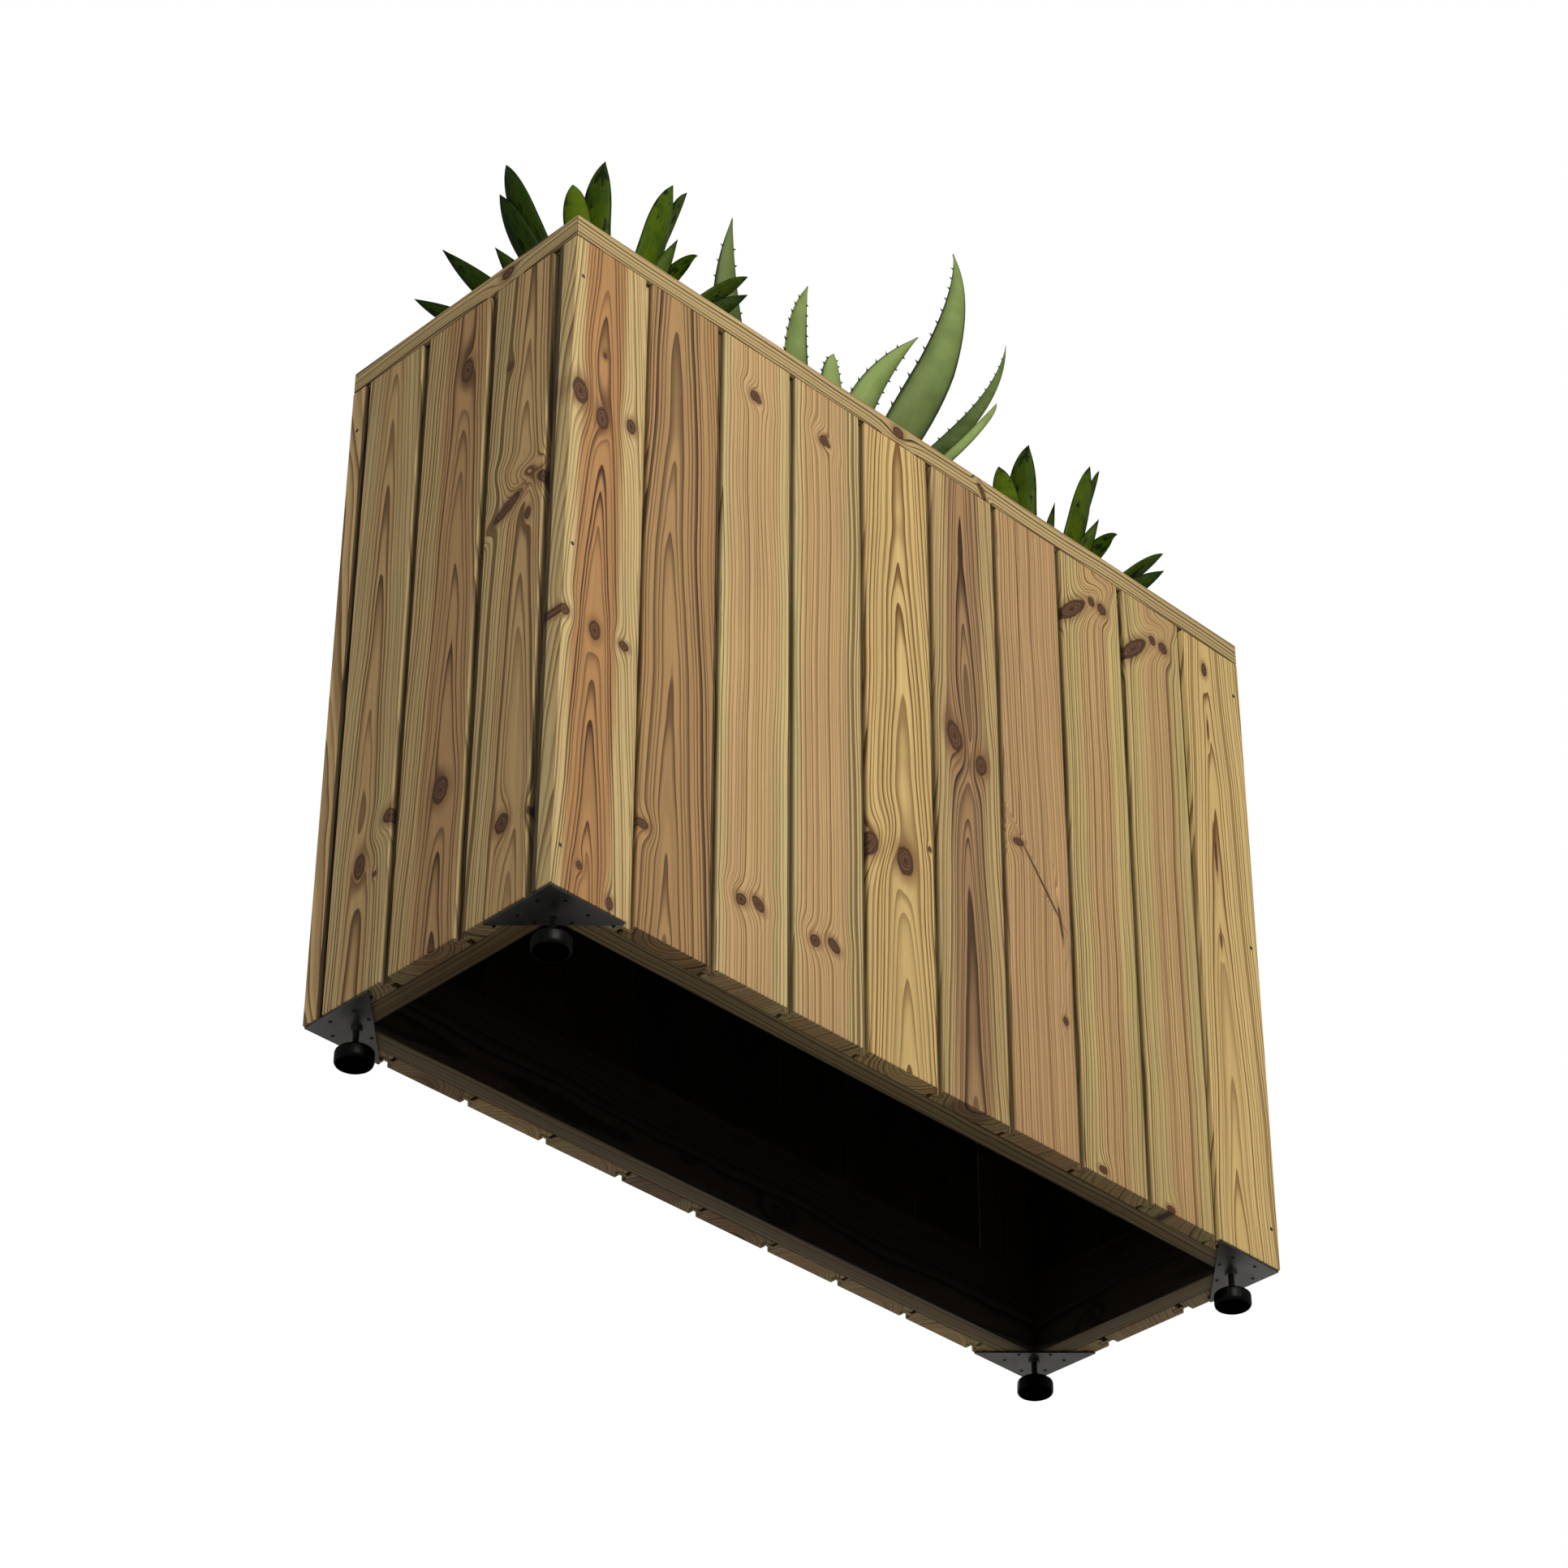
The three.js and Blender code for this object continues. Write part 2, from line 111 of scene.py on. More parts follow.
class Field:
    """One output of a node tree, which can be added, scaled and so on."""

    def __init__(self, graph, socket):
        self.graph = graph
        self.socket = socket

    def __add__(self, other):
        return self.graph.math("ADD", self, other)

    def __sub__(self, other):
        return self.graph.math("SUBTRACT", self, other)

    def __rsub__(self, other):
        return self.graph.math("SUBTRACT", other, self)

    def __mul__(self, other):
        return self.graph.math("MULTIPLY", self, other)

    __radd__ = __add__


class Graph:
    """A material under construction."""

    def __init__(self, name):
        self.material = bpy.data.materials.new(name)
        self.material.use_nodes = True
        self.tree = self.material.node_tree
        self.tree.nodes.clear()

    def node(self, kind, **settings):
        made = self.tree.nodes.new("ShaderNode" + kind)
        for key, value in settings.items():
            setattr(made, key, value)
        return made

    def feed(self, socket, value):
        if isinstance(value, Field):
            self.tree.links.new(value.socket, socket)
        else:
            socket.default_value = value

    def math(self, operation, *values):
        made = self.node("Math", operation=operation)
        for socket, value in zip(made.inputs, values):
            self.feed(socket, value)
        return Field(self, made.outputs[0])

    def vector(self, x, y, z):
        made = self.node("CombineXYZ")
        for socket, value in zip(made.inputs, (x, y, z)):
            self.feed(socket, value)
        return Field(self, made.outputs[0])

    def split(self, vector):
        made = self.node("SeparateXYZ")
        self.feed(made.inputs[0], vector)
        return [Field(self, socket) for socket in made.outputs]

    def coordinates(self, kind):
        return Field(self, self.node("TexCoord").outputs[kind])

    def noise(self, vector, scale=1.0, detail=2.0, roughness=0.5):
        """Smooth noise between 0 and 1."""
        made = self.node("TexNoise", noise_dimensions="3D")
        self.feed(made.inputs["Vector"], vector)
        made.inputs["Scale"].default_value = scale
        made.inputs["Detail"].default_value = detail
        made.inputs["Roughness"].default_value = roughness
        return Field(self, made.outputs[0])

    def cells(self, vector, scale):
        """Distance to the nearest of many scattered points."""
        made = self.node("TexVoronoi", feature="F1")
        self.feed(made.inputs["Vector"], vector)
        made.inputs["Scale"].default_value = scale
        return Field(self, made.outputs["Distance"])

    def ramp(self, value, start, end, low=0.0, high=1.0):
        """Smooth step from low, below start, to high, above end."""
        made = self.node("MapRange", interpolation_type="SMOOTHSTEP")
        if start > end:
            start, end, low, high = end, start, high, low
        for socket, number in zip(made.inputs, (value, start, end, low, high)):
            self.feed(socket, number)
        return Field(self, made.outputs[0])

    def blend(self, first, second, factor, mode="MIX"):
        made = self.node("Mix", data_type="RGBA", blend_type=mode, clamp_factor=True)
        self.feed(made.inputs[0], factor)
        for socket, value in ((made.inputs[6], first), (made.inputs[7], second)):
            self.feed(socket, value if isinstance(value, Field) else (*value, 1.0))
        return Field(self, made.outputs[2])

    def shade(self, colour, factor):
        """The colour times a grey level."""
        made = self.node("VectorMath", operation="SCALE")
        self.feed(made.inputs[0], colour)
        self.feed(made.inputs["Scale"], factor)
        return Field(self, made.outputs[0])

    def finish(self, colour, roughness, height=None, relief=0.0002, **fixed):
        surface = self.node("BsdfPrincipled")
        for name, value in fixed.items():
            surface.inputs[name.replace("_", " ")].default_value = value
        self.feed(surface.inputs["Base Color"], colour)
        self.feed(surface.inputs["Roughness"], roughness)
        if height is not None:
            bump = self.node("Bump")
            bump.inputs["Strength"].default_value = 1.0
            bump.inputs["Distance"].default_value = relief
            self.feed(bump.inputs["Height"], height)
            self.tree.links.new(bump.outputs[0], surface.inputs["Normal"])
        output = self.node("OutputMaterial")
        self.tree.links.new(surface.outputs[0], output.inputs[0])
        return self.material


def rgb(red, green, blue):
    """A colour given as 0 to 255 screen values, as the linear values that a shader takes."""
    levels = (red / 255, green / 255, blue / 255)
    return tuple(level / 12.92 if level < 0.04 else ((level + 0.055) / 1.055) ** 2.4 for level in levels)


# ---------------------------------------------------------------- wood

# Each tone: early and late wood of the sapwood, then of the heartwood.
TONES = {
    "red": (rgb(196, 172, 122), rgb(122, 92, 52), rgb(168, 126, 81), rgb(74, 42, 22)),
    "brown": (rgb(170, 140, 94), rgb(96, 70, 40), rgb(166, 131, 87), rgb(62, 38, 22)),
    "pink": (rgb(194, 172, 122), rgb(106, 82, 44), rgb(190, 158, 112), rgb(132, 96, 58)),
    "yellow": (rgb(208, 180, 122), rgb(124, 92, 46), rgb(204, 174, 116), rgb(112, 78, 38)),
    "dark_heart": (rgb(186, 160, 112), rgb(110, 84, 46), rgb(160, 126, 88), rgb(58, 36, 22)),
    "grey": (rgb(196, 164, 116), rgb(122, 92, 56), rgb(186, 150, 106), rgb(112, 82, 52)),
    "straw": (rgb(190, 166, 112), rgb(98, 72, 38), rgb(190, 158, 110), rgb(128, 92, 54)),
    "olive": (rgb(182, 158, 112), rgb(104, 82, 46), rgb(180, 148, 102), rgb(90, 64, 36)),
    "umber": (rgb(182, 156, 108), rgb(98, 72, 40), rgb(168, 132, 90), rgb(72, 46, 26)),
    "rim": (rgb(182, 157, 110), rgb(52, 34, 15), rgb(174, 147, 100), rgb(48, 30, 14)),
}


class Figure:
    """How one board was sawn. Lengths are in mm: pith is its place across the face and its depth
    behind it, taper how much the rings widen per mm along the board, which draws flames that point
    up it, wander how far the pith strays, and ring the ring width. heart is the middle and half
    width of the heartwood, and each knot is (across, along, half width, half length, tilt in
    degrees)."""

    def __init__(self, tone, pith, taper=0.006, wander=4, ring=5.0, heart=(0, -99), knots=(), seed=0):
        self.tone = tone
        self.pith = pith
        self.taper = taper
        self.wander = wander
        self.ring = ring
        self.heart = heart
        self.knots = knots
        self.seed = seed


def bend_round_knots(graph, across, along, knots):
    """Grain coordinates pushed aside by each knot: the new across, the lift of the rings, and how
    far a point is from the nearest knot, in that knot's own radii."""
    bent, lift, nearest = across, 0.0, 9.0
    place = graph.vector(across, along, 0.0)
    for x, z, half_width, half_length, tilt in knots:
        mapping = graph.node("Mapping", vector_type="TEXTURE")
        graph.feed(mapping.inputs["Vector"], place)
        mapping.inputs["Location"].default_value = (x, z, 0.0)
        mapping.inputs["Rotation"].default_value = (0.0, 0.0, math.radians(tilt))
        mapping.inputs["Scale"].default_value = (half_width, half_length, 1.0)
        local = Field(graph, mapping.outputs[0])
        length = graph.node("VectorMath", operation="LENGTH")
        graph.feed(length.inputs[0], local)
        radii = Field(graph, length.outputs["Value"])
        wide = graph.node("VectorMath", operation="MULTIPLY")
        graph.feed(wide.inputs[0], local)
        wide.inputs[1].default_value = (0.48, 0.3, 0.0)
        squared = graph.node("VectorMath", operation="DOT_PRODUCT")
        tree = graph.tree
        tree.links.new(wide.outputs[0], squared.inputs[0])
        tree.links.new(wide.outputs[0], squared.inputs[1])
        reach = graph.math("EXPONENT", Field(graph, squared.outputs["Value"]) * -1.0)
        bent = bent - (across - x) * (reach * 0.8)
        lift = reach * (0.9 * half_width) + lift
        nearest = graph.math("MINIMUM", radii, nearest)
    return bent, lift, nearest


def wood(name, origin, axes, figure, shade=1.0, stain_and_painted_shade=(20.0, 23.0, 1.0), groove=1.0):
    """Softwood seen on any cut. origin is the point that across, along and depth are measured from,
    and axes gives the direction of each as (index, sign). The next to last argument is painted
    shade: it darkens the wood to its last value from its first depth to its second, for the faces in
    shade inside the box. The last, also painted shade, is how light the sides of a joint's channel are."""
    graph = Graph(name)
    point = graph.coordinates("Object")
    parts = graph.split(point)
    across, along, depth = [
        parts[index] * (1000.0 * sign) + (-1000.0 * sign * origin[index]) for index, sign in axes
    ]
    early_sap, late_sap, early_heart, late_heart = TONES[figure.tone]
    shift = figure.seed * 37.3
    bent, lift, nearest = bend_round_knots(graph, across, along, figure.knots)

    drift = graph.noise(graph.vector(shift, along * 0.0045, 0.0), detail=2.0) - 0.5
    sway = graph.noise(graph.vector(0.0, along * 0.003, shift), detail=1.0) - 0.5
    off_pith = bent - figure.pith[0] - sway * 22.0
    behind = depth - figure.pith[1] - drift * (2.0 * figure.wander)
    radius = graph.math("SQRT", off_pith * off_pith + behind * behind) + along * figure.taper + lift
    ripple = graph.noise(graph.vector(bent * 0.028, along * 0.0032, depth * 0.03 + shift), detail=2.0)
    shiver = graph.noise(graph.vector(bent * 0.11, along * 0.011, depth * 0.1 + shift), detail=3.0)
    radius = radius + (ripple - 0.5) * 5.0 + (shiver - 0.5) * 1.1
    spread = graph.noise(graph.vector(radius * 0.1, shift, 0.0), detail=1.0)
    count = (radius + spread * 14.0) * (1.0 / figure.ring)
    turn = graph.math("FRACT", count)
    late = graph.ramp(turn, 0.3, 0.95) * graph.ramp(turn, 1.0, 0.955)
    tree_year = graph.node("TexWhiteNoise", noise_dimensions="1D")
    graph.feed(tree_year.inputs["W"], graph.math("FLOOR", count) + shift)
    late = graph.math("POWER", late, 1.15) * (Field(graph, tree_year.outputs["Value"]) * 0.65 + 0.5)

    middle, half = figure.heart
    off_heart = graph.math("ABSOLUTE", bent - middle) + (ripple - 0.5) * 9.0
    heart = graph.ramp(off_heart, half + 6.0, half - 6.0)
    early = graph.blend(early_sap, early_heart, heart)
    dark = graph.blend(late_sap, late_heart, heart)
    colour = graph.blend(early, dark, late)

    grain = graph.vector(bent * 1.3, along * 0.011, depth * 1.3 + shift)
    fibre = graph.noise(grain, detail=4.0, roughness=0.7)
    ducts = graph.noise(graph.vector(bent * 2.4, along * 0.06, depth * 2.4), detail=1.0)
    duct = graph.ramp(ducts, 0.68, 0.76)
    band = graph.noise(graph.vector(bent * 0.16, along * 0.0012, depth * 0.16 + shift), detail=2.0)
    patch = graph.noise(graph.vector(bent * 0.02, along * 0.0035, depth * 0.02 + shift), detail=3.0)
    level = (fibre - 0.5) * 0.62 + (band - 0.5) * 0.4 + (patch - 0.5) * 0.3 + duct * -0.14 + 1.0
    colour = graph.shade(colour, level * shade)

    wobble = graph.noise(graph.vector(across * 0.12, along * 0.09, shift), detail=3.0) - 0.5
    near = nearest + wobble * 0.35
    halo = graph.ramp(near, 2.4, 0.95)
    colour = graph.blend(colour, rgb(112, 74, 42), halo * 0.55)
    knot_ring = graph.math("FRACT", near * 3.6 + wobble * 0.8)
    knot_late = graph.ramp(knot_ring, 0.2, 0.95) * graph.ramp(near, 0.02, 0.3)
    inner = graph.blend(rgb(108, 74, 50), rgb(62, 40, 27), knot_late)
    inner = graph.blend(rgb(58, 36, 26), inner, graph.ramp(near, 0.05, 0.35))
    rim = graph.ramp(near, 0.72, 0.93) * graph.ramp(near, 1.2, 1.0)
    knot = graph.ramp(near, 1.1, 0.92)
    colour = graph.blend(colour, inner, knot)
    colour = graph.blend(colour, rgb(52, 33, 21), rim * 0.7)

    # Painted shade: darker with depth, for the faces that lie in shade inside the box.
    colour = graph.shade(colour, graph.ramp(depth, stain_and_painted_shade[0], stain_and_painted_shade[1], 1.0, stain_and_painted_shade[2]))
    facing = graph.split(graph.coordinates("Normal"))[axes[1][0]]
    sawn_end = graph.ramp(graph.math("ABSOLUTE", facing), 0.6, 0.8)
    # Painted shade in the recess of each joint between boards, kept off the sawn ends.
    painted_joint_shade = graph.ramp(depth, 1.5, 5.0) * (1.0 - sawn_end)
    colour = graph.shade(colour, painted_joint_shade * (groove - 1.0) + 1.0)
    tearing = graph.noise(graph.vector(across * 0.9, depth * 0.9, along * 0.9), detail=3.0)
    colour = graph.blend(colour, graph.shade(colour, tearing * 0.5 + 0.36), sawn_end)

    height = late * 0.55 + fibre * 0.8 + tearing * sawn_end * 2.0 - rim * 0.7
    roughness = 0.74 - late * 0.14 - knot * 0.12 + (fibre - 0.5) * 0.2
    return graph.finish(colour, roughness, height, 0.00025, Specular_IOR_Level=0.35)


# Left to right across the long front face. Across counts from each board's own left edge.
FRONT_FIGURES = [
    Figure("red", (50, -11), 0.058, 5, 4.8, (50, 33), seed=1, knots=[
        (15, 739, 11, 17, 8), (50, 718, 9, 15, 0), (95, 732, 7, 10, 0), (51, 814, 3, 3.5, 0),
        (50, 411, 8, 12, 0), (4, 416, 7, 7, 0), (94, 412, 7, 6, 0), (40, 90, 4, 5, 0), (85, 62, 5, 8, 0)]),
    Figure("brown", (46, -13), 0.038, 5, 6.0, (50, 200), seed=2, knots=[(9, 188, 9, 6, 0)]),
    Figure("pink", (-90, -40), ring=5.0, heart=(54, 38), seed=3, knots=[
        (54, 899, 8, 7, 50), (61, 896, 4, 4, 0), (40, 160, 8, 7, 40), (67, 166, 10, 7, -40)]),
    Figure("pink", (-90, -40), ring=5.0, heart=(52, 38), seed=3.2, knots=[
        (52, 899, 8, 7, 50), (59, 896, 4, 4, 0), (36, 159, 8, 7, 40), (66, 166, 10, 7, -40)]),
    Figure("yellow", (64, -16), 0.048, 7, 6.4, (64, 200), seed=5, knots=[
        (65, 339, 13, 19, 0), (5, 336, 12, 18, -30), (107, 376, 3, 3.5, 0)]),
    Figure("dark_heart", (57, -11), 0.042, 5, 5.4, (57, 30), seed=6, knots=[
        (35, 566, 12, 20, 12), (81, 545, 9, 14, -14)]),
    Figure("grey", (-110, -40), ring=5.0, heart=(64, 60), seed=7, knots=[
        (24, 464, 9, 5, 12), (38, 850, 0.6, 150, 0), (28, 500, 0.6, 40, 0), (64, 424, 1.6, 46, 38),
        (98, 240, 4.5, 5.5, 0), (96, 380, 2, 20, 8)]),
    Figure("straw", (190, -50), ring=4.8, heart=(62, 26), seed=8, knots=[
        (21, 884, 9, 34, -45), (61, 918, 6, 7, 0), (81, 916, 8, 8, 30), (34, 59, 7, 5, 0)]),
    Figure("straw", (190, -50), ring=4.8, heart=(62, 26), seed=8.2, knots=[
        (20, 884, 9, 34, -45), (60, 919, 6, 7, 0), (81, 917, 8, 8, 30), (34, 54, 7, 5, 0)]),
    Figure("yellow", (46, -12), 0.045, 6, 5.6, (44, 20), seed=10, knots=[
        (44, 926, 5, 10, 0), (44, 828, 1.6, 16, 0), (44, 625, 1.8, 20, 0), (43, 500, 1.4, 14, 0)]),
]
# Front to back across the short left face.
LEFT_FIGURES = [
    Figure("olive", (48, -16), 0.04, 5, 5.4, (50, 30), seed=21, knots=[
        (86, 834, 5, 6, 0), (79, 616, 8, 24, 62), (8, 624, 9, 22, -58), (42, 588, 5, 8, 0),
        (60, 166, 10, 12, 0), (12, 164, 7, 9, 0)]),
    Figure("umber", (40, -11), 0.045, 6, 5.6, (42, 34), seed=22, knots=[
        (38, 876, 10, 17, 0), (41, 264, 12, 17, 0)]),
    Figure("olive", (53, -12), 0.042, 6, 5.6, (53, 20), seed=23, knots=[
        (53, 226, 9, 16, 0), (25, 203, 3, 3.5, 0), (6, 274, 10, 9, 40)]),
]


def random_figure(rng, tones, low, high, width, most=4):
    """A figure for a board whose face isn't one of those described above."""
    knots = []
    for _ in range(rng.randint(1, most)):
        size = rng.uniform(3.0, 9.5)
        knots.append((
            rng.uniform(0.12, 0.88) * width, rng.uniform(low, high), size, size * rng.uniform(1.0, 1.6),
            rng.uniform(-20, 20)))
    flat_sawn = rng.random() < 0.6
    pith = (rng.uniform(0.35, 0.65) * width, rng.uniform(-17, -10)) if flat_sawn else (-0.8 * width, -40)
    taper = rng.uniform(0.028, 0.05) * rng.choice((-1, 1)) if flat_sawn else 0.006
    return Figure(
        rng.choice(tones), pith, taper, rng.uniform(4, 7), rng.uniform(4.8, 6.2),
        (rng.uniform(0.35, 0.65) * width, rng.uniform(20, 45)), knots, rng.uniform(30, 90))


def paint(node, material):
    for slot in node.material_slots:
        slot.link = "OBJECT"
        slot.material = material


def ease_edges(node, width, segments=2):
    """Joins the faceted solid's split corners and rounds its sharp edges."""
    weld = node.modifiers.new("weld", "WELD")
    weld.merge_threshold = 1e-5
    bevel = node.modifiers.new("eased_edges", "BEVEL")
    bevel.width = width
    bevel.segments = segments
    bevel.limit_method = "ANGLE"
    bevel.angle_limit = math.radians(35)
    bevel.harden_normals = False


def dress_boards():
    rng = random.Random(11)
    tones = ["red", "brown", "pink", "yellow", "dark_heart", "grey", "straw"]
    sides = [
        ("front_board_", FRONT_FIGURES, (0, 1), (1, 1)),
        ("back_board_", None, (0, -1), (1, -1)),
        ("left_side_board_", LEFT_FIGURES, (1, 1), (0, 1)),
        ("right_side_board_", None, (1, 1), (0, -1)),
    ]
    for prefix, figures, across, depth in sides:
        names = [name for name in nodes if name.startswith(prefix)]
        for name in sorted(names, key=lambda text: int(text.rsplit("_", 1)[1])):
            low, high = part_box(name)
            index = int(name.rsplit("_", 1)[1]) - 1
            figure = figures[index] if figures else random_figure(rng, tones, 100, 940, 110)
            origin = [0.0, 0.0, 0.0]
            for axis, sign in (across, depth):
                origin[axis] = (low if sign > 0 else high)[axis]
            # Painted shade darkens the joint channels between boards, but not on the corner boards.
            corner = prefix in ("front_board_", "back_board_") and index in (0, 9)
            # Painted shade on the inner faces: darkened to 0.16 over the last mm of the board's depth.
            material = wood(
                "wood_" + name, origin, (across, (2, 1), depth), figure, stain_and_painted_shade=(22.6, 23.9, 0.16),
                groove=1.0 if corner else 0.35)
            paint(nodes[name], material)
            ease_edges(nodes[name], 1.4 * MM)


def dress_rims_and_rails():
    rng = random.Random(23)
    front_rim = Figure("rim", (-52, -30), ring=5.8, seed=31, knots=[
        (17, 546, 8, 9, 0), (10, 700, 4, 12, 60)])
    for name, node in nodes.items():
        if not name.startswith(("rim_", "bottom_rail_", "floor_rail_", "top_rail_")):
            continue
        low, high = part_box(name)
        along = 0 if name.endswith(("front", "back")) else 1
        inward = 1 - along
        outer_is_low = name.endswith(("front", "left"))
        inner_face = "_rail_" in name
        face_is_low = outer_is_low != inner_face
        origin = [0.0, 0.0, low[2]]
        origin[along] = low[along]
        origin[inward] = (low if face_is_low else high)[inward]
        length = (high[along] - low[along]) / MM
        width = (high[2] - low[2]) / MM
        figure = random_figure(rng, ["straw", "olive", "brown"], 60, length - 60, width, 3)
        if name == "rim_front":
            figure = front_rim
        elif name.startswith("rim_"):
            figure = Figure("rim", (-52, -30), ring=5.8, knots=figure.knots[:1], seed=figure.seed)
        else:
            figure.pith = (18, -60)
            figure.taper = 0.006
        axes = ((2, 1), (along, 1), (inward, 1 if face_is_low else -1))
        if name.startswith("rim_"):
            paint(node, wood("wood_" + name, origin, axes, figure))
        else:
            # Painted shade: rails are darkened overall and most on their inner faces, for their place in
            # shade under and inside the box.
            paint(node, wood("wood_" + name, origin, axes, figure, 0.42, (3.0, 0.5, 0.25)))
        ease_edges(node, 1.0 * MM)
    low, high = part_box("planting_floor")
    sheet = Figure("brown", (180, 10), 0.05, 14, 6.0, (180, 400), seed=41)
    paint(nodes["planting_floor"], wood("wood_floor", low, ((1, 1), (0, 1), (2, 1)), sheet, 0.8))


# ---------------------------------------------------------------- meshes


def make_piece(name, points, faces, materials, body="box", stands_for=(), kinds=None, leaf=None):
    """Adds a smooth-shaded mesh piece. kinds gives each face's material, and leaf each point's place
    on its leaf: across from -1 to 1 and along from 0 to 1."""
    mesh = bpy.data.meshes.new(name)
    mesh.from_pydata([tuple(point) for point in points], [], faces)
    for material in materials:
        mesh.materials.append(material)
    if kinds:
        mesh.polygons.foreach_set("material_index", kinds)
    if leaf:
        layer = mesh.attributes.new("leaf", "FLOAT_VECTOR", "POINT")
        layer.data.foreach_set("vector", [value for point in leaf for value in point])
    mesh.polygons.foreach_set("use_smooth", [True] * len(mesh.polygons))
    mesh.validate()
    piece = bpy.data.objects.new(name, mesh)
    bpy.context.collection.objects.link(piece)
    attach(piece, body)
    if stands_for:
        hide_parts(*stands_for)
    return piece


def sharpen(piece, degrees=35):
    """Keeps edges crisper than this angle."""
    mesh = piece.data
    mesh.set_sharp_from_angle(angle=math.radians(degrees))


class Shape:
    """Points and faces collected from several closed forms."""

    def __init__(self):
        self.points = []
        self.faces = []
        self.kinds = []
        self.leaf = []

    def rings(self, loops, kind=0, leaf=None):
        """A closed skin through loops of equal length, with a flat or pointed cap at each end."""
        start = len(self.points)
        size = len(loops[0])
        for loop in loops:
            self.points += loop
        if leaf:
            self.leaf += leaf
        for row in range(len(loops) - 1):
            for i in range(size):
                a = start + row * size + i
                b = start + row * size + (i + 1) % size
                self.faces.append((a, b, b + size, a + size))
                self.kinds.append(kind)
        self.faces.append(tuple(start + i for i in reversed(range(size))))
        last = start + (len(loops) - 1) * size
        self.faces.append(tuple(last + i for i in range(size)))
        self.kinds += [kind, kind]

    def lathe(self, centre, profile, count, wave=None):
        """Turns (radius, height) pairs round a vertical axis. wave scales the radius by angle."""
        loops = []
        for radius, height in profile:
            loop = []
            for i in range(count):
                angle = 2 * math.pi * i / count
                scale = wave(angle, radius, height) if wave else 1.0
                loop.append(Vector((
                    centre[0] + radius * scale * math.cos(angle),
                    centre[1] + radius * scale * math.sin(angle),
                    centre[2] + height)))
            loops.append(loop)
        self.rings(loops)


# ---------------------------------------------------------------- metal, rubber and soil


def powder_coat(name, colour, gloss):
    graph = Graph(name)
    point = graph.coordinates("Object")
    peel = graph.noise(point, 900.0, 3.0)
    dust = graph.noise(point, 38.0, 5.0, 0.65)
    dusty = tuple(min(1.0, level * 1.7 + 0.006) for level in colour)
    shade = graph.blend(colour, dusty, graph.ramp(dust, 0.42, 0.78))
    roughness = graph.ramp(dust, 0.3, 0.8, gloss, gloss + 0.22)
    return graph.finish(shade, roughness, peel, 0.00002, IOR=1.85)


def zinc(name):
    graph = Graph(name)
    point = graph.coordinates("Object")
    stain_and_painted_shade = graph.noise(point, 160.0, 4.0)
    colour = graph.blend(rgb(46, 47, 48), rgb(24, 25, 26), graph.ramp(stain_and_painted_shade, 0.35, 0.7))
    return graph.finish(colour, graph.ramp(stain_and_painted_shade, 0.3, 0.7, 0.3, 0.5), stain_and_painted_shade, 0.00004, Metallic=0.85)


def rubber(name):
    graph = Graph(name)
    point = graph.coordinates("Object")
    grit = graph.noise(point, 1400.0, 2.0)
    scuff = graph.ramp(graph.noise(point, 90.0, 5.0, 0.7), 0.52, 0.72)
    colour = graph.blend(rgb(3, 3, 3), rgb(8, 8, 8), scuff)
    return graph.finish(
        colour, graph.ramp(scuff, 0.0, 1.0, 0.42, 0.7), grit, 0.00008, Specular_IOR_Level=0.13)


def liner_film(name):
    graph = Graph(name)
    point = graph.coordinates("Object")
    crease = graph.noise(point, 34.0, 6.0, 0.6)
    colour = graph.blend(rgb(20, 20, 21), rgb(36, 36, 38), graph.ramp(crease, 0.4, 0.7))
    return graph.finish(colour, graph.ramp(crease, 0.3, 0.7, 0.3, 0.5), crease, 0.002)


def earth(name):
    graph = Graph(name)
    point = graph.coordinates("Object")
    crumb = graph.cells(point, 260.0)
    clod = graph.noise(point, 60.0, 6.0, 0.7)
    colour = graph.blend(rgb(30, 20, 13), rgb(74, 52, 34), graph.ramp(clod, 0.35, 0.7))
    bark = graph.ramp(graph.noise(point, 150.0, 2.0), 0.66, 0.74)
    colour = graph.blend(colour, rgb(112, 78, 50), bark * 0.7)
    return graph.finish(colour, graph.ramp(clod, 0.3, 0.7, 0.85, 0.98), clod - crumb * 0.6, 0.0016)


def dress_metal():
    plate = powder_coat("plate_coating", rgb(13, 14, 14), 0.32)
    for corner in CORNERS:
        node = nodes["corner_plate_" + corner]
        paint(node, plate)
        ease_edges(node, 0.35 * MM)


THREAD_PITCH = 1.25 * MM
THREAD_DEPTH = 0.75 * MM


def add_stud(corner, metal):
    """A screw thread cut on the CAD stud's own outline."""
    low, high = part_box("foot_stud_" + corner)
    centre = ((low.x + high.x) / 2, (low.y + high.y) / 2, 0.0)
    radius = (high.x - low.x) / 2
    steps = 8
    count = int((high.z - low.z) / THREAD_PITCH * steps)
    profile = []
    for row in range(count + 1):
        height = low.z + (high.z - low.z) * row / count
        end = min(height - low.z, high.z - height)
        profile.append((radius - max(0.0, 1.2 * MM - end), height))

    def thread(angle, size, height):
        turn = (height / THREAD_PITCH - angle / (2 * math.pi)) % 1.0
        return 1.0 - THREAD_DEPTH / size * min(1.0, abs(turn - 0.5) * 2.4)

    shape = Shape()
    shape.lathe(centre, profile, 32, thread)
    make_piece("stud_" + corner, shape.points, shape.faces, [metal], "stud_" + corner,
               ["foot_stud_" + corner])


